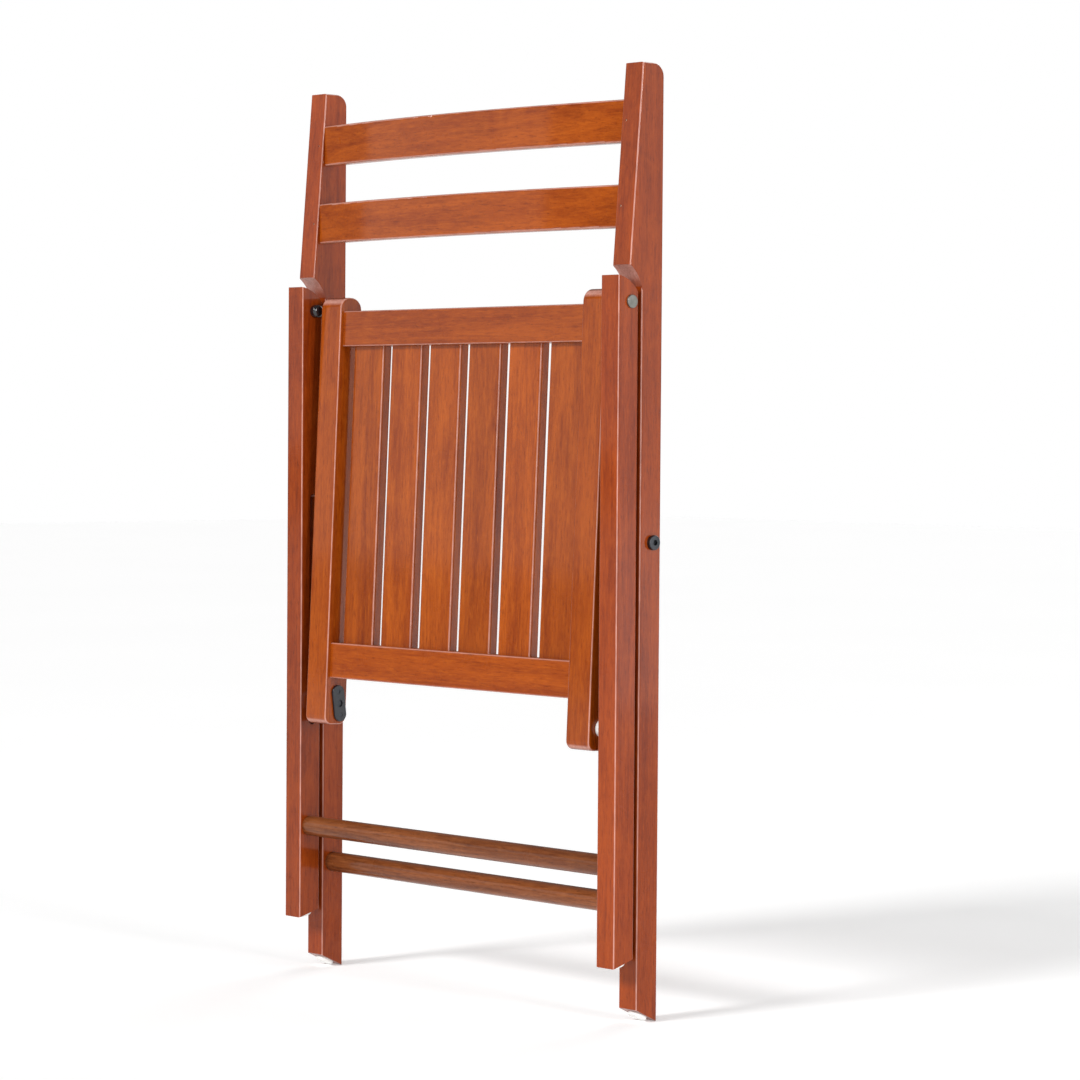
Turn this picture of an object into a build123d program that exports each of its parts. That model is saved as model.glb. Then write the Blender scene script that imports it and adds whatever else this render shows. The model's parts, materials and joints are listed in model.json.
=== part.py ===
"""Folding slatted wooden chair, modelled folded flat and standing upright, in millimetres.

Frame: +Z up, +Y towards the front of the chair, +X to the sitter's right. The origin is at the bottom centre
of the folded chair. Two long posts carry the backrest and end in the front feet. The rear legs hang from the
posts on steel hinge blades. The seat turns on two bolts in the posts, and pins at its rear end run in slots
routed in the rear legs, so that both frames swing out together.
"""
from build123d import *
import math
import os

os.makedirs("parts", exist_ok=True)

# Driving sizes
overall_width = 475.0
post_height = 890.0
leg_width = 23.5  # across the chair, for posts and rear legs
leg_depth = 26.0
post_depth = 27.5
leg_to_post_gap = 4.0
rail_width = 30.5
rail_depth = 28.0
rail_length = 430.0
side_gap = 10.0  # between the legs and the seat rails
seat_proud = 2.0  # how far the seat's rear end stands behind the folded legs
seat_tilt = 2.53  # folded seat against the posts, degrees
lean = 25.4  # posts from upright when the chair is open, degrees
edge_round = 2.0
slip = 0.05  # radial clearance of pins and shanks in their holes
joint_slack = 0.1  # clearance round tenons and dowel ends
running_gap = 0.3  # between faces that slide past each other

# Front-to-back places in the folded stack
stack_depth = seat_proud + leg_depth + leg_to_post_gap + post_depth
front_y = stack_depth / 2
post_back_y = front_y - post_depth
leg_front_y = post_back_y - leg_to_post_gap
leg_back_y = leg_front_y - leg_depth
post_mid_y = front_y - post_depth / 2
leg_mid_y = leg_front_y - leg_depth / 2

# Places across the chair
outer_x = overall_width / 2
inner_x = outer_x - leg_width
rail_outer_x = inner_x - side_gap
rail_inner_x = rail_outer_x - rail_width
leg_mid_x = (outer_x + inner_x) / 2

# Pivots of the folded chair
hinge_y, hinge_z = leg_back_y + 16.4, 669.4
pivot_y, pivot_z = front_y - 11.2, 447.0
pin_y, pin_z = leg_back_y + 15.5, 274.0

# Slide slot in the rear legs
slot_width = 9.5
slot_depth = 9.0
slot_top_z = 484.0
slot_bottom_z = 250.0
pin_open_z = slot_top_z - slot_width / 2

# Post outline
post_top_depth = 28.0
post_shoulder_depth = 43.0
shoulder_z = 703.5
step_end_z = 683.5
step_round = 40.0
post_top_round = 12.0

# Rear leg outline
leg_top_z = 693.5
leg_top_drop = 15.8
leg_top_round = 40.0

# Back slats
slat_height = 40.0
slat_thickness = 14.0
slat_bow = 16.0
slat_inset = 3.0  # of the slat ends in front of the posts' rear faces
upper_slat_z = 817.0
lower_slat_z = 738.0
back_tenon = (12.0, 7.0, 28.0)

# Seat, measured from the rear end of its rails and down from their top faces
cross_rail_size = 35.5
cross_rail_thickness = 20.0
cross_rail_inset = 4.2
front_rail_start = 380.5
rear_rail_start = 47.0
seat_slat_count = 6
seat_slat_pitch = 56.9
seat_slat_width = 44.8
seat_slat_inset = 12.0
seat_slat_thickness = 12.0
rail_front_round = 12.0
rail_rear_round = 8.5
ear_radius = 11.0
ear_spread = 42.0
cross_tenon = (14.0, 24.0, 10.0)
seat_slat_tenon = (8.0, 34.0, 6.0)

# Rungs
rung_radius = 10.0
rung_seat = 13.0
front_rung_z = 108.0
rear_rung_z = 147.0

# Hardware
hinge_shank = 3.0
hinge_head = (6.2, 2.4)
hinge_nut = (6.5, 7.0)
blade_thickness = 3.0
blade_radius = 7.0
blade_end_y, blade_end_z = post_mid_y, 655.0
pivot_shank = 4.0
pivot_head = (6.9, 4.0)
pivot_socket = (5.0, 2.4)
pivot_nut = (7.0, 6.0)
spacer_radius = 8.0
slide_pin_radius = 3.6
slide_disc = (8.6, 5.0)
plate_size = (37.0, 15.0, 2.4)
plate_lean = 10.0
plate_screw_pitch = 24.0
screw_radius = 2.0
screw_length = 12.0
glide_radius = 9.0
glide_thickness = 3.0
glide_stem = (2.0, 12.0)
brad_radius = 0.9
brad_length = 26.0


def bearing(from_point, to_point):
    """Angle of a direction in the side view, in degrees, counted from straight down towards the front."""
    return math.degrees(math.atan2(to_point[0] - from_point[0], from_point[1] - to_point[1]))


def corner_angle(side_a, side_b, opposite):
    """Angle between two sides of a triangle, in degrees."""
    return math.degrees(math.acos((side_a**2 + side_b**2 - opposite**2) / (2 * side_a * side_b)))


# Opening angles: the pins reach the top of their slots
hinge, pivot, pin, pin_open = (hinge_y, hinge_z), (pivot_y, pivot_z), (pin_y, pin_z), (pin_y, pin_open_z)
hinge_to_pivot = math.dist(hinge, pivot)
pivot_to_pin = math.dist(pivot, pin)
hinge_to_open = math.dist(hinge, pin_open)
legs_open = corner_angle(hinge_to_pivot, hinge_to_open, pivot_to_pin) - (
    bearing(hinge, pivot) - bearing(hinge, pin_open)
)
seat_open = corner_angle(hinge_to_pivot, pivot_to_pin, math.dist(hinge, pin)) - corner_angle(
    hinge_to_pivot, pivot_to_pin, hinge_to_open
)

# Feet are cut to lie flat on the floor when the chair is open
leg_lean = lean - legs_open
lean_sin, lean_cos = math.sin(math.radians(lean)), math.cos(math.radians(lean))
leg_sin, leg_cos = math.sin(math.radians(leg_lean)), math.cos(math.radians(leg_lean))
post_foot_z = max(post_depth / 2 * lean_sin / lean_cos, glide_thickness * lean_cos + glide_radius * lean_sin)
hinge_height = (hinge_y - post_mid_y) * lean_sin + (hinge_z - post_foot_z) * lean_cos
leg_foot_z = hinge_z - (hinge_height - (hinge_y - leg_mid_y) * leg_sin) / leg_cos


def foot_z(y, mid_y, mid_z, tilt):
    """Height of a foot's slanted cut at y."""
    return mid_z - (y - mid_y) * math.tan(math.radians(tilt))


def side_plane(x):
    """Plane across the chair at x, with local x along +Y and local y along +Z."""
    return Plane((x, 0, 0), x_dir=(0, 1, 0), z_dir=(1, 0, 0))


def across(x, y, z):
    """Plane at a point, facing the sitter's right, for bolts and pins."""
    return Plane((x, y, z), x_dir=(0, 1, 0), z_dir=(1, 0, 0))


def foot_plane(x, mid_y, mid_z, tilt):
    """Plane on a foot's cut, facing out of the wood."""
    radians = math.radians(tilt)
    return Plane((x, mid_y, mid_z), x_dir=(1, 0, 0), z_dir=(0, -math.sin(radians), -math.cos(radians)))


# The seat's own plane at x: origin at the rear end of the rails' top faces, local x along them to the front end,
# local y down through the seat. The top faces stand seat_proud behind the legs at the rear end.
seat_dir = (0, math.sin(math.radians(seat_tilt)), math.cos(math.radians(seat_tilt)))
seat_down = (0, seat_dir[2], -seat_dir[1])
seat_rear_y = leg_back_y - seat_proud - rail_rear_round * seat_dir[1]
seat_rear_z = pin_z - 20.5


def seat_plane(x):
    return Plane((x, seat_rear_y, seat_rear_z), x_dir=seat_dir, z_dir=(-1, 0, 0))


def seat_local(y, z):
    """A point of the side view in the seat's own plane."""
    dy, dz = y - seat_rear_y, z - seat_rear_z
    return dy * seat_dir[1] + dz * seat_dir[2], dy * seat_down[1] + dz * seat_down[2]


def seat_point(along, down):
    """The side view's y and z of a point in the seat's own plane."""
    return (
        seat_rear_y + along * seat_dir[1] + down * seat_down[1],
        seat_rear_z + along * seat_dir[2] + down * seat_down[2],
    )


pivot_along, pivot_down = seat_local(pivot_y, pivot_z)
pin_along, pin_down = seat_local(pin_y, pin_z)


def save(part, label):
    part.label = label
    export_step(part, f"parts/{label}.step")


def save_pair(part, label):
    """Writes the right-hand piece and its mirror image."""
    save(mirror(part, about=Plane.YZ), f"{label}_left")
    save(part, f"{label}_right")


def slat_end_y(z):
    """Where a back slat's middle meets the post at height z."""
    rise = (z - shoulder_z) / (post_height - shoulder_z)
    rear_y = front_y - post_shoulder_depth + (post_shoulder_depth - post_top_depth) * rise
    return rear_y + slat_inset + slat_thickness / 2


upper_slat_y = slat_end_y(upper_slat_z + slat_height / 2)
lower_slat_y = slat_end_y(lower_slat_z + slat_height / 2)


def brad_start(z):
    """Where a brad's head sits: just under the post's sloping rear face, at the slat's mid height."""
    rise = (z + slat_height / 2 - shoulder_z) / (post_height - shoulder_z)
    depth = post_shoulder_depth + (post_top_depth - post_shoulder_depth) * rise
    return front_y - depth + edge_round / 2


def make_post():
    with BuildPart() as post:
        with BuildSketch(side_plane(inner_x)):
            with BuildLine():
                foot_back = (post_back_y, foot_z(post_back_y, post_mid_y, post_foot_z, lean))
                foot_front = (front_y, foot_z(front_y, post_mid_y, post_foot_z, lean))
                shoulder = (front_y - post_shoulder_depth, shoulder_z)
                step_end = (post_back_y, step_end_z)
                top_back = (front_y - post_top_depth, post_height)
                Polyline(step_end, foot_back, foot_front, (front_y, post_height - post_top_round))
                RadiusArc(
                    (front_y, post_height - post_top_round), (front_y - post_top_round, post_height), -post_top_round
                )
                Polyline((front_y - post_top_round, post_height), top_back, shoulder)
                RadiusArc(shoulder, step_end, step_round)
            make_face()
        extrude(amount=leg_width)
        long_edges = post.edges().filter_by(lambda e: e.length > 150)
        fillet(long_edges, edge_round)
        # mortises for the back slats
        for z, y in ((upper_slat_z, upper_slat_y), (lower_slat_z, lower_slat_y)):
            with Locations((inner_x, y, z + slat_height / 2)):
                Box(
                    2 * (back_tenon[0] + joint_slack),
                    back_tenon[1] + 2 * joint_slack,
                    back_tenon[2] + 2 * joint_slack,
                    mode=Mode.SUBTRACT,
                )
        # socket for the front rung
        with BuildSketch(side_plane(inner_x)):
            with Locations((post_mid_y, front_rung_z)):
                Circle(rung_radius + slip)
        extrude(amount=rung_seat + joint_slack, mode=Mode.SUBTRACT)
        # hole for the seat pivot bolt
        with BuildSketch(side_plane(inner_x)):
            with Locations((pivot_y, pivot_z)):
                Circle(pivot_shank + slip)
        extrude(amount=leg_width, mode=Mode.SUBTRACT)
        # kerf for the hinge blade
        with BuildSketch(side_plane(leg_mid_x - blade_thickness / 2 - slip)):
            with Locations((blade_end_y, blade_end_z)):
                Circle(blade_radius + slip)
            with Locations((hinge_y, hinge_z)):
                Circle(blade_radius + slip)
            make_hull()
        extrude(amount=blade_thickness + 2 * slip, mode=Mode.SUBTRACT)
        # hole for the foot glide's stem
        with BuildSketch(foot_plane(leg_mid_x, post_mid_y, post_foot_z, lean)):
            Circle(glide_stem[0] + slip)
        extrude(amount=-(glide_stem[1] + joint_slack), mode=Mode.SUBTRACT)
        # blind holes, open to the rear, for the brads that lock the slat tenons
        for z in (upper_slat_z, lower_slat_z):
            hole_end = brad_start(z) + brad_length + joint_slack
            with BuildSketch(Plane.XZ.offset(-hole_end)):
                with Locations((leg_mid_x - leg_width / 4, z + slat_height / 2)):
                    Circle(brad_radius + slip)
            extrude(amount=hole_end + front_y, mode=Mode.SUBTRACT)
    return post.part


def make_rear_leg():
    with BuildPart() as leg:
        with BuildSketch(side_plane(inner_x)):
            with BuildLine():
                top_back = (leg_back_y, leg_top_z)
                top_front = (leg_front_y, leg_top_z - leg_top_drop)
                Polyline(
                    top_front,
                    (leg_front_y, foot_z(leg_front_y, leg_mid_y, leg_foot_z, leg_lean)),
                    (leg_back_y, foot_z(leg_back_y, leg_mid_y, leg_foot_z, leg_lean)),
                    top_back,
                )
                RadiusArc(top_back, top_front, leg_top_round)
            make_face()
        extrude(amount=leg_width)
        long_edges = leg.edges().filter_by(lambda e: e.length > 150)
        fillet(long_edges, edge_round)
        with BuildSketch(side_plane(inner_x)):
            with Locations((pin_y, (slot_top_z + slot_bottom_z) / 2)):
                SlotOverall(slot_top_z - slot_bottom_z, slot_width, rotation=90)
        extrude(amount=slot_depth, mode=Mode.SUBTRACT)
        with BuildSketch(side_plane(inner_x)):
            with Locations((leg_mid_y, rear_rung_z)):
                Circle(rung_radius + slip)
        extrude(amount=rung_seat + joint_slack, mode=Mode.SUBTRACT)
        with BuildSketch(side_plane(inner_x)):
            with Locations((hinge_y, hinge_z)):
                Circle(hinge_shank + slip)
        extrude(amount=leg_width, mode=Mode.SUBTRACT)
        # kerf in which the leg turns round the hinge blade
        with BuildSketch(side_plane(leg_mid_x - blade_thickness / 2 - running_gap)):
            with Locations((hinge_y, hinge_z)):
                Circle(blade_radius + running_gap)
                blade_bearing = bearing((hinge_y, hinge_z), (blade_end_y, blade_end_z)) - 90
                for angle in (blade_bearing, blade_bearing + legs_open / 2, blade_bearing + legs_open):
                    with Locations(Rot(0, 0, angle)):
                        Rectangle(
                            2 * leg_depth, 2 * (blade_radius + running_gap), align=(Align.MIN, Align.CENTER)
                        )
        extrude(amount=blade_thickness + 2 * running_gap, mode=Mode.SUBTRACT)
        with BuildSketch(foot_plane(leg_mid_x, leg_mid_y, leg_foot_z, leg_lean)):
            Circle(glide_stem[0] + slip)
        extrude(amount=-(glide_stem[1] + joint_slack), mode=Mode.SUBTRACT)
    return leg.part


def make_glide(mid_y, mid_z, tilt):
    with BuildPart() as glide:
        with BuildSketch(foot_plane(leg_mid_x, mid_y, mid_z, tilt)):
            Circle(glide_radius)
        extrude(amount=glide_thickness)
        fillet(glide.edges().group_by(Axis.Z)[0], glide_thickness / 3)
        with BuildSketch(foot_plane(leg_mid_x, mid_y, mid_z, tilt)):
            Circle(glide_stem[0])
        extrude(amount=-glide_stem[1])
    return glide.part


def make_rung(y, z):
    with BuildPart() as rung:
        with BuildSketch(side_plane(-inner_x - rung_seat)):
            with Locations((y, z)):
                Circle(rung_radius)
        extrude(amount=2 * (inner_x + rung_seat))
        chamfer(rung.edges(), 1.0)
    return rung.part


def make_back_slat(z, end_y):
    """A bowed slat between the posts, with a tenon at each end."""
    with BuildPart() as slat:
        half = slat_thickness / 2
        with BuildSketch(Plane.XY.offset(z)):
            with BuildLine():
                ThreePointArc(
                    (-inner_x, end_y - half), (0, end_y - half - slat_bow), (inner_x, end_y - half)
                )
                Line((inner_x, end_y - half), (inner_x, end_y + half))
                ThreePointArc(
                    (inner_x, end_y + half), (0, end_y + half - slat_bow), (-inner_x, end_y + half)
                )
                Line((-inner_x, end_y + half), (-inner_x, end_y - half))
            make_face()
        extrude(amount=slat_height)
        fillet(slat.edges().filter_by(lambda e: e.length > 2 * inner_x - 1), edge_round + 0.5)
        for side in (-1, 1):
            with Locations((side * (inner_x + back_tenon[0] / 2), end_y, z + slat_height / 2)):
                Box(*back_tenon)
        for side in (-1, 1):
            with BuildSketch(Plane.XZ.offset(-front_y)):
                with Locations((side * (leg_mid_x - leg_width / 4), z + slat_height / 2)):
                    Circle(brad_radius + slip)
            extrude(amount=2 * front_y, mode=Mode.SUBTRACT)
    return slat.part


def make_brads():
    """Four brads, driven from behind through the posts and the back slats' tenons."""
    with BuildPart() as brads:
        for z in (upper_slat_z, lower_slat_z):
            for side in (-1, 1):
                with BuildSketch(Plane.XZ.offset(-brad_start(z) - brad_length)):
                    with Locations((side * (leg_mid_x - leg_width / 4), z + slat_height / 2)):
                        Circle(brad_radius)
                extrude(amount=brad_length)
    return brads.part


def make_blade():
    """Steel hinge blade: its lower end is let into the post, its eye turns on the hinge bolt."""
    with BuildPart() as blade:
        with BuildSketch(side_plane(leg_mid_x - blade_thickness / 2)):
            with Locations((blade_end_y, blade_end_z)):
                Circle(blade_radius)
            with Locations((hinge_y, hinge_z)):
                Circle(blade_radius)
            make_hull()
        extrude(amount=blade_thickness)
        with BuildSketch(side_plane(inner_x)):
            with Locations((hinge_y, hinge_z)):
                Circle(hinge_shank + slip)
        extrude(amount=leg_width, mode=Mode.SUBTRACT)
    return blade.part


def make_hinge_bolt():
    radius, height = hinge_head
    with BuildPart() as bolt:
        with BuildSketch(across(outer_x, hinge_y, hinge_z)):
            Circle(radius)
        extrude(amount=height)
        fillet(bolt.edges().group_by(Axis.X)[-1], height / 3)
        with BuildSketch(across(outer_x, hinge_y, hinge_z)):
            Circle(hinge_shank)
        extrude(amount=-(leg_width + hinge_nut[1] / 2))
    return bolt.part


def make_cap_nut(x, y, z, size, shank):
    """Domed nut on the inner side, facing the middle of the chair from x."""
    radius, height = size
    with BuildPart() as nut:
        with BuildSketch(across(x, y, z)):
            Circle(radius)
        extrude(amount=-height)
        fillet(nut.edges().group_by(Axis.X)[0], height / 2.2)
        with BuildSketch(across(x, y, z)):
            Circle(shank + slip)
        extrude(amount=-(height / 2 + joint_slack), mode=Mode.SUBTRACT)
    return nut.part


def make_pivot_bolt():
    radius, height = pivot_head
    with BuildPart() as bolt:
        with BuildSketch(across(outer_x, pivot_y, pivot_z)):
            Circle(radius)
        extrude(amount=height)
        fillet(bolt.edges().group_by(Axis.X)[-1], height / 4)
        with BuildSketch(across(outer_x + height, pivot_y, pivot_z)):
            RegularPolygon(pivot_socket[0] / 2 / math.cos(math.pi / 6), 6)
        extrude(amount=-pivot_socket[1], mode=Mode.SUBTRACT)
        with BuildSketch(across(outer_x, pivot_y, pivot_z)):
            Circle(pivot_shank)
        extrude(amount=-(outer_x - rail_inner_x + running_gap + pivot_nut[1] / 2))
    return bolt.part


def make_spacer():
    with BuildPart() as spacer:
        with BuildSketch(across(inner_x, pivot_y, pivot_z)):
            Circle(spacer_radius)
            Circle(pivot_shank + slip, mode=Mode.SUBTRACT)
        extrude(amount=-(side_gap - running_gap))
    return spacer.part


def make_seat_rail():
    with BuildPart() as rail:
        with BuildSketch(seat_plane(rail_outer_x)) as outline:
            with Locations((rail_length / 2, rail_depth / 2)):
                Rectangle(rail_length, rail_depth)
            fillet(outline.vertices().sort_by(Axis.X)[:2], rail_rear_round)
            fillet(outline.vertices().sort_by(Axis.X)[-2:], rail_front_round)
        extrude(amount=rail_width)
        fillet(rail.edges().filter_by(lambda e: e.length > 150), edge_round)
        # ear below the rail that carries the pivot bolt
        with BuildSketch(seat_plane(rail_outer_x)):
            with Locations((pivot_along, pivot_down)):
                Circle(ear_radius)
            with Locations((pivot_along, rail_depth - edge_round - 4)):
                Rectangle(2 * ear_spread, 4)
            make_hull()
        extrude(amount=rail_width)
        with BuildSketch(seat_plane(rail_outer_x)):
            with Locations((pivot_along, pivot_down)):
                Circle(pivot_shank + slip)
            with Locations((pin_along, pin_down)):
                Circle(slide_pin_radius + slip)
        extrude(amount=rail_width, mode=Mode.SUBTRACT)
        # mortises for the cross rails
        with BuildSketch(seat_plane(rail_inner_x)):
            for start in (rear_rail_start, front_rail_start):
                with Locations((start + cross_rail_size / 2, cross_rail_inset + cross_rail_thickness / 2)):
                    Rectangle(cross_tenon[1] + 2 * joint_slack, cross_tenon[2] + 2 * joint_slack)
        extrude(amount=-(cross_tenon[0] + joint_slack), mode=Mode.SUBTRACT)
        # screw holes for the slide plate
        with BuildSketch(seat_plane(rail_inner_x)):
            with Locations((pin_along, pin_down)):
                with Locations(Rot(0, 0, -plate_lean)):
                    with Locations((-plate_screw_pitch / 2, 0), (plate_screw_pitch / 2, 0)):
                        Circle(screw_radius + slip)
        extrude(amount=-(screw_length + joint_slack), mode=Mode.SUBTRACT)
    return rail.part


def slat_centres():
    """Places of the seat slats across the chair."""
    return [(i - (seat_slat_count - 1) / 2) * seat_slat_pitch for i in range(seat_slat_count)]


def make_cross_rail(start, faces_front):
    """A seat cross rail, with tenons into the rails and mortises for the seat slats on its inner edge."""
    inner_edge = start if faces_front else start + cross_rail_size
    into = 1 if faces_front else -1
    slat_mid = seat_slat_inset + seat_slat_thickness / 2
    with BuildPart() as rail:
        with BuildSketch(seat_plane(rail_inner_x)):
            with Locations((start + cross_rail_size / 2, cross_rail_inset + cross_rail_thickness / 2)):
                Rectangle(cross_rail_size, cross_rail_thickness)
        extrude(amount=2 * rail_inner_x)
        fillet(rail.edges().filter_by(Axis.X), edge_round)
        with BuildSketch(seat_plane(rail_inner_x + cross_tenon[0])):
            with Locations((start + cross_rail_size / 2, cross_rail_inset + cross_rail_thickness / 2)):
                Rectangle(cross_tenon[1], cross_tenon[2])
        extrude(amount=2 * (rail_inner_x + cross_tenon[0]))
        for x in slat_centres():
            with BuildSketch(seat_plane(x + seat_slat_tenon[1] / 2 + joint_slack)):
                with Locations((inner_edge + into * (seat_slat_tenon[0] + joint_slack) / 2, slat_mid)):
                    Rectangle(seat_slat_tenon[0] + joint_slack, seat_slat_tenon[2] + 2 * joint_slack)
            extrude(amount=seat_slat_tenon[1] + 2 * joint_slack, mode=Mode.SUBTRACT)
    return rail.part


def make_seat_slat(x):
    first = rear_rail_start + cross_rail_size
    length = front_rail_start - first
    middle = (first + length / 2, seat_slat_inset + seat_slat_thickness / 2)
    with BuildPart() as slat:
        with BuildSketch(seat_plane(x + seat_slat_width / 2)):
            with Locations(middle):
                Rectangle(length, seat_slat_thickness)
        extrude(amount=seat_slat_width)
        fillet(slat.edges().filter_by(lambda e: e.length > length - 1), edge_round + 0.5)
        with BuildSketch(seat_plane(x + seat_slat_tenon[1] / 2)):
            with Locations(middle):
                Rectangle(length + 2 * seat_slat_tenon[0], seat_slat_tenon[2])
        extrude(amount=seat_slat_tenon[1])
    return slat.part


def make_slide_pin():
    """Steel pin through the seat rail. It ends at the mouth of the rear leg's slot."""
    reach = side_gap - running_gap
    with BuildPart() as slide:
        with BuildSketch(across(rail_inner_x - plate_size[2] / 2, pin_y, pin_z)):
            Circle(slide_pin_radius)
        extrude(amount=plate_size[2] / 2 + rail_width + reach)
    return slide.part


def make_slide_disc():
    radius, thickness = slide_disc
    with BuildPart() as disc:
        with BuildSketch(across(rail_outer_x, pin_y, pin_z)):
            Circle(radius)
        extrude(amount=thickness)
        fillet(disc.edges().group_by(Axis.X)[-1], thickness / 4)
        with BuildSketch(across(rail_outer_x, pin_y, pin_z)):
            Circle(slide_pin_radius + slip)
        extrude(amount=thickness, mode=Mode.SUBTRACT)
    return disc.part


def make_slide_plate():
    """Oval plate on the inner face of the rail, which holds the slide pin."""
    length, width, thickness = plate_size
    with BuildPart() as plate:
        with BuildSketch(seat_plane(rail_inner_x)):
            with Locations((pin_along, pin_down)):
                with Locations(Rot(0, 0, -plate_lean)):
                    SlotOverall(length, width)
        extrude(amount=thickness)
        fillet(plate.edges().group_by(Axis.X)[0], thickness / 4)
        with BuildSketch(seat_plane(rail_inner_x)):
            with Locations((pin_along, pin_down)):
                Circle(slide_pin_radius + slip)
                with Locations(Rot(0, 0, -plate_lean)):
                    with Locations((-plate_screw_pitch / 2, 0), (plate_screw_pitch / 2, 0)):
                        Circle(screw_radius + slip)
        extrude(amount=thickness, mode=Mode.SUBTRACT)
    return plate.part


def make_plate_screws():
    with BuildPart() as screws:
        with BuildSketch(seat_plane(rail_inner_x - plate_size[2] * 0.8)):
            with Locations((pin_along, pin_down)):
                with Locations(Rot(0, 0, -plate_lean)):
                    with Locations((-plate_screw_pitch / 2, 0), (plate_screw_pitch / 2, 0)):
                        Circle(screw_radius)
        extrude(amount=-(screw_length + plate_size[2] * 0.8))
    return screws.part


# Post frame
save_pair(make_post(), "post")
save(make_back_slat(upper_slat_z, upper_slat_y), "upper_back_slat")
save(make_back_slat(lower_slat_z, lower_slat_y), "lower_back_slat")
save(make_brads(), "back_slat_brads")
save(make_rung(post_mid_y, front_rung_z), "front_rung")
save_pair(make_glide(post_mid_y, post_foot_z, lean), "post_glide")
save_pair(make_blade(), "hinge_blade")
save_pair(make_pivot_bolt(), "seat_pivot_bolt")
save_pair(make_spacer(), "seat_pivot_spacer")
save_pair(
    make_cap_nut(rail_inner_x - running_gap, pivot_y, pivot_z, pivot_nut, pivot_shank), "seat_pivot_nut"
)

# Rear leg frame
save_pair(make_rear_leg(), "rear_leg")
save(make_rung(leg_mid_y, rear_rung_z), "rear_rung")
save_pair(make_glide(leg_mid_y, leg_foot_z, leg_lean), "rear_leg_glide")
save_pair(make_hinge_bolt(), "hinge_bolt")
save_pair(make_cap_nut(inner_x, hinge_y, hinge_z, hinge_nut, hinge_shank), "hinge_nut")

# Seat
save_pair(make_seat_rail(), "seat_rail")
save(make_cross_rail(front_rail_start, True), "seat_front_rail")
save(make_cross_rail(rear_rail_start, False), "seat_rear_rail")
for number, x in enumerate(slat_centres(), 1):
    save(make_seat_slat(x), f"seat_slat_{number}")
save_pair(make_slide_pin(), "slide_pin")
save_pair(make_slide_disc(), "slide_disc")
save_pair(make_slide_plate(), "slide_plate")
save_pair(make_plate_screws(), "slide_plate_screws")

print(f"legs open {legs_open:.2f}, seat opens {seat_open:.2f}, leg lean {leg_lean:.2f} degrees")
print(f"hinge {hinge}, pivot {pivot}, pin {pin}")
print(f"feet at post {post_foot_z:.2f}, rear leg {leg_foot_z:.2f}; slat ends {upper_slat_y:.2f}, {lower_slat_y:.2f}")
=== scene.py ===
import bpy
import json
import math
from mathutils import Matrix, Vector

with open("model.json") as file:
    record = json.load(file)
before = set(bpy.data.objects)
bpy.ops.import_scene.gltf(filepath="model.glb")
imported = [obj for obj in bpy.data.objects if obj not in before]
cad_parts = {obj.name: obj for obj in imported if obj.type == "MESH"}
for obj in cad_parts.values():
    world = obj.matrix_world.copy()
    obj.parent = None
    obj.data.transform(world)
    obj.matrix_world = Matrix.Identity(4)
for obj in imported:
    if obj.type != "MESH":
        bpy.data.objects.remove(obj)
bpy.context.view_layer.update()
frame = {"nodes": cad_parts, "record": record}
nodes = frame["nodes"]
record = frame["record"]
slot_of = {entry["node"]: entry["material_slot"] for entry in record["subparts"]}

# Camera: lens and sensor in mm, turns in degrees, places in metres
LENS, SENSOR = 115.15, 36.0
YAW, PITCH, ROLL = 46.294, -1.791, 0.416
CAMERA_PLACE = (2.4789, -2.2678, 0.5488)
VIEW_DEPTH = 50.0

# World and floor: light strengths, and half the floor's side in metres
WHITE = (1.0, 1.0, 1.0, 1.0)
WORLD_SEEN = 1.0
WORLD_LIGHT = 0.20
FLOOR_GLOW = 0.30
FLOOR_REACH = 14.0

# Noise layers: frequency along the grain, frequency across it, detail, roughness, distortion
BROAD = (3.5, 55.0, 4.0, 0.6, 0.8)
BANDS = (9.0, 240.0, 4.0, 0.65, 0.5)
FINE = (60.0, 520.0, 4.0, 0.7, 0.3)
PORES = (120.0, 900.0, 2.0, 0.6, 0.0)
CLOUD = (20.0, 20.0, 5.0, 0.7, 0.5)
PEEL = (520.0, 520.0, 3.0, 0.6, 0.0)
RINGS = (300.0, 300.0, 3.0, 0.6, 0.0)
METAL_WEAR = (600.0, 600.0, 4.0, 0.6, 0.0)
METAL_BLOT = (160.0, 160.0, 3.0, 0.5, 0.0)
ENAMEL_FINE = (900.0, 900.0, 3.0, 0.6, 0.0)
ENAMEL_BLOT = (180.0, 180.0, 4.0, 0.6, 0.0)
FLOOR_BLOT = (1.5, 1.5, 3.0, 0.5, 0.0)

# Wood: the noise's shift from piece to piece, factors on the stains, and the lacquer
GRAIN_X, GRAIN_Z = "x", "z"
SHIFT = (0.731, 0.417, 0.293)
DEEPER = (0.62, 0.48, 0.45)
PALER = (1.28, 1.50, 1.6)
PORE_SHADE, RING_SHADE = 0.35, 0.5
# Painted highlight: a pale pink laid on rounded edges in place of the lacquer's edge reflections
PAINTED_EDGE_HIGHLIGHT = (0.70, 0.40, 0.34)
LACQUER_ROUGHNESS, LACQUER_SCUFF = 0.24, 0.12
TINT, TINT_STEP = 0.07, 2.4

# Fittings: factors on their colours, and what is added to their roughness where they are worn
METAL_SHADE, METAL_SCRATCH = 0.72, 0.15
ENAMEL_SHADE, ENAMEL_SCUFF = 0.86, 0.12

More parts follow.
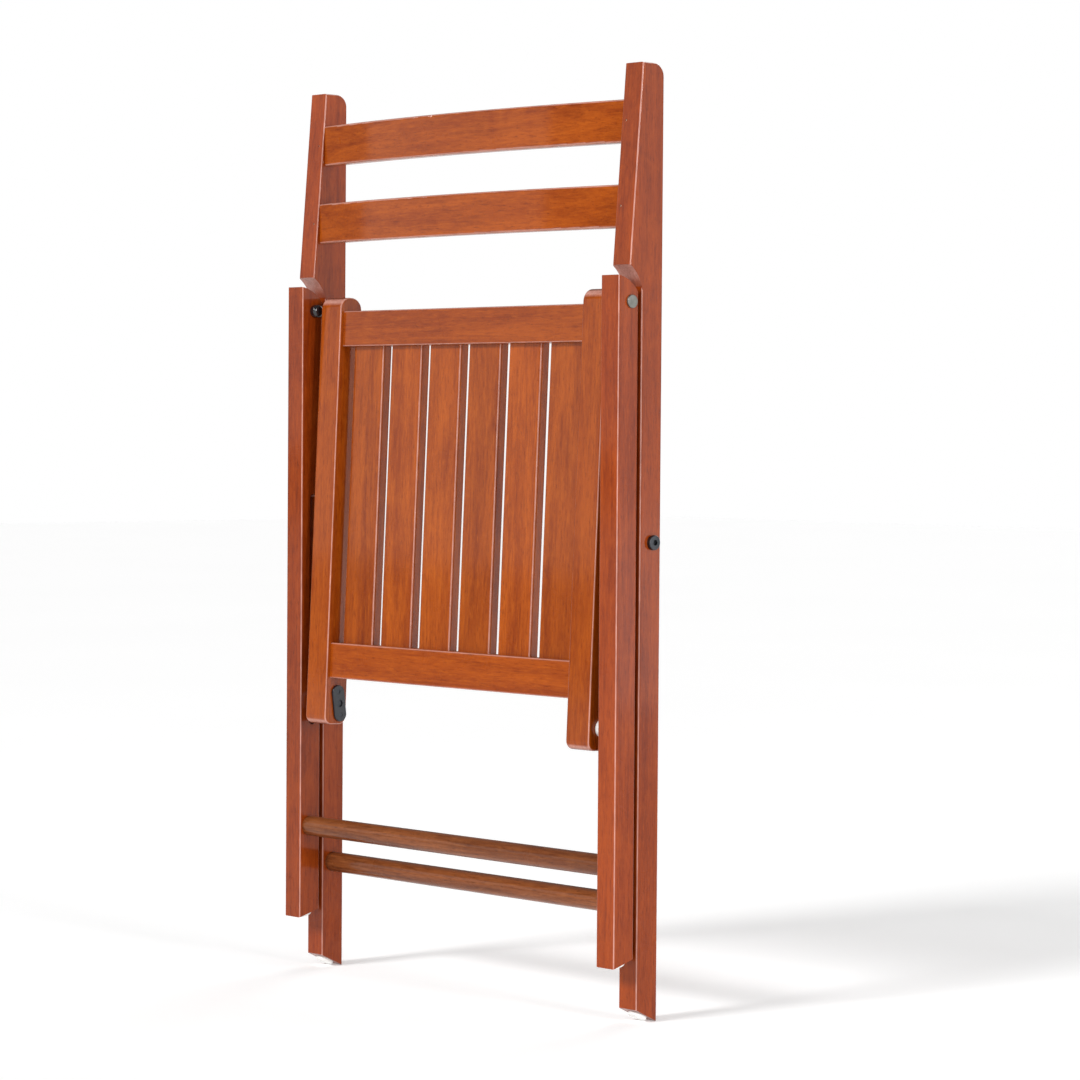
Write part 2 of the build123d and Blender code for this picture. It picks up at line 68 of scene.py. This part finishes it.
# Each wood: its grain's axis, its light stain and its dark stain
WOODS = {
    "frame_wood": (GRAIN_Z, (0.315, 0.049, 0.004), (0.170, 0.020, 0.002)),
    "back_slat_wood": (GRAIN_X, (0.350, 0.068, 0.005), (0.200, 0.028, 0.003)),
    "seat_frame_wood": (GRAIN_Z, (0.360, 0.068, 0.004), (0.210, 0.029, 0.002)),
    "seat_slat_wood": (GRAIN_Z, (0.385, 0.076, 0.005), (0.215, 0.032, 0.003)),
    "rung_wood": (GRAIN_X, (0.24, 0.070, 0.020), (0.075, 0.016, 0.005)),
}
# These two lie across the chair, unlike the other pieces in their wood
CROSS_RAILS = ("seat_front_rail", "seat_rear_rail")
# Each metal: its colour and roughness. Each enamel: its colour, roughness and coat
METALS = {
    "hinge_steel": ((0.50, 0.50, 0.50), 0.35),
    "bright_steel": ((0.30, 0.30, 0.275), 0.48),
    "dark_steel": ((0.085, 0.09, 0.10), 0.34),
}
ENAMELS = {
    "brad_steel": ((0.78, 0.62, 0.44), 0.40, 0.2),
    "black_nut": ((0.006, 0.006, 0.008), 0.14, 0.6),
    "black_plate": ((0.006, 0.008, 0.014), 0.30, 0.25),
    "white_plastic": ((0.90, 0.90, 0.88), 0.40, 0.1),
}


# Camera: a long lens behind the folded chair, to its right and a little above half its height
def place_camera():
    yaw, pitch, roll = (math.radians(angle) for angle in (YAW, PITCH, ROLL))
    forward = Vector((-math.sin(yaw) * math.cos(pitch), math.cos(yaw) * math.cos(pitch), math.sin(pitch)))
    level_right = Vector((math.cos(yaw), math.sin(yaw), 0))
    level_up = level_right.cross(forward)
    right = level_right * math.cos(roll) + level_up * math.sin(roll)
    up = level_up * math.cos(roll) - level_right * math.sin(roll)
    data = bpy.data.cameras.new("camera")
    data.lens = LENS
    data.sensor_width = SENSOR
    data.clip_end = VIEW_DEPTH
    camera = bpy.data.objects.new("camera", data)
    bpy.context.scene.collection.objects.link(camera)
    turn = Matrix((right, up, -forward)).transposed().to_4x4()
    camera.matrix_world = Matrix.Translation(CAMERA_PLACE) @ turn
    bpy.context.scene.camera = camera


# Materials
def scaled(values, factor):
    return tuple(value * factor for value in values)


class Nodes:
    """Small helper that adds and links shader nodes."""

    def __init__(self, name):
        self.material = bpy.data.materials.new(name)
        self.material.use_nodes = True
        self.tree = self.material.node_tree
        self.shader = self.tree.nodes["Principled BSDF"]
        texture_coords = self.tree.nodes.new("ShaderNodeTexCoord")
        self.coords = texture_coords.outputs["Object"]
        self.normal = texture_coords.outputs["Normal"]

    def feed(self, socket, value):
        """Link a socket to another node's output, or give it a plain value."""
        if hasattr(value, "links"):
            self.tree.links.new(value, socket)
        else:
            socket.default_value = value

    def add(self, kind, inputs, **settings):
        node = self.tree.nodes.new("ShaderNode" + kind)
        for key, value in settings.items():
            setattr(node, key, value)
        for key, value in inputs.items():
            self.feed(node.inputs[key], value)
        return node

    def set(self, key, value):
        self.feed(self.shader.inputs[key], value)

    def calc(self, operation, *numbers):
        return self.add("Math", dict(enumerate(numbers)), operation=operation).outputs[0]

    def noise(self, layer, axis=GRAIN_Z, shift=(0, 0, 0)):
        """One noise layer in object coordinates, stretched along the grain's axis."""
        along, across, detail, roughness, distortion = layer
        scale = tuple(along if name == axis else across for name in "xyz")
        mapping = self.add("Mapping", {"Vector": self.coords, "Scale": scale, "Location": shift})
        inputs = {"Vector": mapping.outputs["Vector"], "Scale": 1.0, "Detail": detail}
        inputs.update({"Roughness": roughness, "Distortion": distortion})
        return self.add("TexNoise", inputs).outputs["Fac"]

    def ramp(self, source, low, high):
        """A colour between two stops, each given as (place, colour)."""
        node = self.add("ValToRGB", {"Fac": source})
        for element, (place, color) in zip(node.color_ramp.elements, (low, high)):
            element.position = place
            element.color = (*color, 1.0)
        return node.outputs["Color"]

    def spread(self, source, low, high, to_low, to_high):
        inputs = {"Value": source, "From Min": low, "From Max": high, "To Min": to_low, "To Max": to_high}
        return self.add("MapRange", inputs).outputs["Result"]

    def mix(self, factor, a, b):
        node = self.add("Mix", {0: factor}, data_type="RGBA")
        for index, color in ((6, a), (7, b)):
            self.feed(node.inputs[index], color if hasattr(color, "links") else (*color, 1.0))
        return node.outputs[2]

    def stain(self, color, mask, low, high, amount, other):
        """Mix in another colour: none of it where the mask is at low, and the amount where it is at high."""
        return self.mix(self.spread(mask, low, high, 0.0, amount), color, other)

    def facings(self):
        """For x, y and z: 1 where the surface faces along that axis, and 0 where it lies along it."""
        parts = self.add("SeparateXYZ", {"Vector": self.normal}).outputs
        return [self.calc("ABSOLUTE", part) for part in parts]

    def painted_edge_highlight(self, breakup):
        """How strongly a spot gets the painted edge highlight: 0 where it faces along one axis, and more
        where it faces between two.

        A rounded edge gets the painted highlight, which stands in for the lacquer's edge reflections. So does
        a flat face that slopes, such as the flanks of a rail's ear.
        """
        facing_x, facing_y, facing_z = self.facings()
        largest = self.calc("MAXIMUM", self.calc("MAXIMUM", facing_x, facing_y), facing_z)
        between = self.spread(largest, 0.95, 0.80, 0.0, 1.0)
        return self.calc("MULTIPLY", between, self.spread(breakup, 0.2, 0.6, 0.85, 0.45))

    def bump(self, height, strength, distance):
        inputs = {"Height": height, "Strength": strength, "Distance": distance}
        return self.add("Bump", inputs).outputs["Normal"]


def wood(name, axis, light, dark, seed, has_painted_edge_highlights):
    """Stained hardwood under a glossy lacquer, with its grain along one axis."""
    n = Nodes(name)
    shift = scaled(SHIFT, seed)
    layers = (BROAD, BANDS, FINE, PORES, CLOUD, PEEL, RINGS)
    broad, bands, fine, pores, cloud, peel, rings = (n.noise(layer, axis, shift) for layer in layers)
    deep = tuple(c * factor for c, factor in zip(dark, DEEPER))
    pale = tuple(min(1.0, c * factor) for c, factor in zip(light, PALER))
    color = n.ramp(broad, (0.25, dark), (0.62, light))
    color = n.stain(color, bands, 0.50, 0.74, 0.45, deep)
    color = n.stain(color, fine, 0.52, 0.70, 0.50, deep)
    color = n.stain(color, fine, 0.46, 0.30, 0.45, pale)
    color = n.stain(color, cloud, 0.50, 0.75, 0.35, pale)
    color = n.stain(color, pores, 0.60, 0.74, 0.50, scaled(dark, PORE_SHADE))
    # end grain drinks more stain
    end_facing = n.facings()["xyz".index(axis)]
    end_color = n.ramp(rings, (0.3, scaled(deep, RING_SHADE)), (0.7, deep))
    color = n.stain(color, end_facing, 0.80, 0.98, 0.85, end_color)
    # painted highlight: a paler colour on rounded edges and sloping faces, standing in for edge reflections
    if has_painted_edge_highlights:
        color = n.mix(n.painted_edge_highlight(fine), color, PAINTED_EDGE_HIGHLIGHT)
    n.set("Base Color", color)
    scuffed = LACQUER_ROUGHNESS + LACQUER_SCUFF
    n.set("Roughness", n.spread(cloud, 0.3, 0.7, LACQUER_ROUGHNESS, scuffed))
    n.set("Specular IOR Level", 0.06)
    n.set("Coat Weight", 0.42)
    n.set("Coat Roughness", 0.08)
    n.set("Coat IOR", 1.5)
    height = n.calc("ADD", peel, n.spread(fine, 0.0, 1.0, 0.0, 0.9))
    n.set("Normal", n.bump(height, strength=0.16, distance=0.0008))
    return n.material


def metal(name, color, roughness):
    n = Nodes(name)
    wear = n.noise(METAL_WEAR)
    shade = scaled(color, METAL_SHADE)
    n.set("Base Color", n.ramp(n.noise(METAL_BLOT), (0.35, shade), (0.65, color)))
    n.set("Metallic", 1.0)
    n.set("Roughness", n.spread(wear, 0.3, 0.7, roughness, roughness + METAL_SCRATCH))
    n.set("Normal", n.bump(wear, strength=0.12, distance=0.0002))
    return n.material


def enamel(name, color, roughness, coat):
    """Painted or moulded surface with a faint mottle."""
    n = Nodes(name)
    fine = n.noise(ENAMEL_FINE)
    shade = scaled(color, ENAMEL_SHADE)
    n.set("Base Color", n.ramp(n.noise(ENAMEL_BLOT), (0.35, shade), (0.65, color)))
    n.set("Roughness", n.spread(fine, 0.3, 0.7, roughness, roughness + ENAMEL_SCUFF))
    n.set("Coat Weight", coat)
    n.set("Coat Roughness", 0.15)
    n.set("Normal", n.bump(fine, strength=0.08, distance=0.0002))
    return n.material


def wood_for(node, number):
    """Wood for one piece, with a grain and a slight tint of its own. The round rungs get no painted edge
    highlight.
    """
    axis, light, dark = WOODS[slot_of[node]]
    if node in CROSS_RAILS:
        axis = GRAIN_X
    tint = 1.0 + TINT * math.sin(number * TINT_STEP)
    has_painted_edge_highlights = "rung" not in node
    return wood(node + "_wood", axis, scaled(light, tint), scaled(dark, tint), number + 1, has_painted_edge_highlights)


def dress_pieces():
    fittings = {slot: metal(slot, *look) for slot, look in METALS.items()}
    fittings.update({slot: enamel(slot, *look) for slot, look in ENAMELS.items()})
    for number, node in enumerate(sorted(nodes)):
        slot = slot_of[node]
        material = wood_for(node, number) if slot in WOODS else fittings[slot]
        mesh = nodes[node].data
        mesh.materials.clear()
        mesh.materials.append(material)


# Floor, light and background
def stage_material():
    n = Nodes("stage")
    n.set("Base Color", n.ramp(n.noise(FLOOR_BLOT), (0.0, (0.86, 0.86, 0.86)), (1.0, (0.90, 0.90, 0.90))))
    n.set("Roughness", 0.9)
    n.set("Specular IOR Level", 0.1)
    n.set("Emission Color", WHITE)
    n.set("Emission Strength", FLOOR_GLOW)
    return n.material


def build_floor():
    mesh = bpy.data.meshes.new("floor")
    corners = [(x * FLOOR_REACH, y * FLOOR_REACH, 0) for x, y in ((-1, -1), (1, -1), (1, 1), (-1, 1))]
    mesh.from_pydata(corners, [], [(0, 1, 2, 3)])
    mesh.materials.append(stage_material())
    floor = bpy.data.objects.new("floor", mesh)
    bpy.context.scene.collection.objects.link(floor)


def hang_light(name, data, direction, place=(0, 0, 0)):
    light = bpy.data.objects.new(name, data)
    bpy.context.scene.collection.objects.link(light)
    turn = direction.to_track_quat("-Z", "Y").to_matrix().to_4x4()
    light.matrix_world = Matrix.Translation(place) @ turn


def area_light(name, place, aim_height, size, power):
    """A rectangular light that points at a height on the chair's middle line."""
    data = bpy.data.lights.new(name, "AREA")
    data.shape = "RECTANGLE"
    data.size, data.size_y = size
    data.energy = power
    hang_light(name, data, Vector((0, 0, aim_height)) - Vector(place), place)


def sun_light(name, direction, strength, angle):
    data = bpy.data.lights.new(name, "SUN")
    data.energy = strength
    data.angle = math.radians(angle)
    hang_light(name, data, Vector(direction))


def build_world():
    """White where the camera sees it, and a dimmer even light on the object."""
    world = bpy.data.worlds.new("world")
    world.use_nodes = True
    tree = world.node_tree
    seen = tree.nodes["Background"]
    shed = tree.nodes.new("ShaderNodeBackground")
    for background, strength in ((seen, WORLD_SEEN), (shed, WORLD_LIGHT)):
        background.inputs["Color"].default_value = WHITE
        background.inputs["Strength"].default_value = strength
    path = tree.nodes.new("ShaderNodeLightPath")
    mix = tree.nodes.new("ShaderNodeMixShader")
    tree.links.new(path.outputs["Is Camera Ray"], mix.inputs[0])
    tree.links.new(shed.outputs[0], mix.inputs[1])
    tree.links.new(seen.outputs[0], mix.inputs[2])
    tree.links.new(mix.outputs[0], tree.nodes["World Output"].inputs["Surface"])
    bpy.context.scene.world = world


dress_pieces()
place_camera()
build_floor()
build_world()
sun_light("rear_key", (0.10, 1.0, -0.62), 2.1, 14)
sun_light("side_key", (-1.0, 0.04, -0.22), 1.5, 14)
sun_light("front_fill", (0.35, -1.0, -0.50), 0.9, 30)
area_light("side_sheen", (2.4, 2.3, 1.1), 0.45, (0.9, 2.2), 10)
area_light("rear_sheen", (-3.2, -2.9, 1.3), 0.60, (2.0, 1.6), 10)
area_light("edge_fill", (2.2, -2.5, 1.2), 0.50, (0.9, 1.8), 20)
bpy.context.scene.view_settings.view_transform = "Standard"
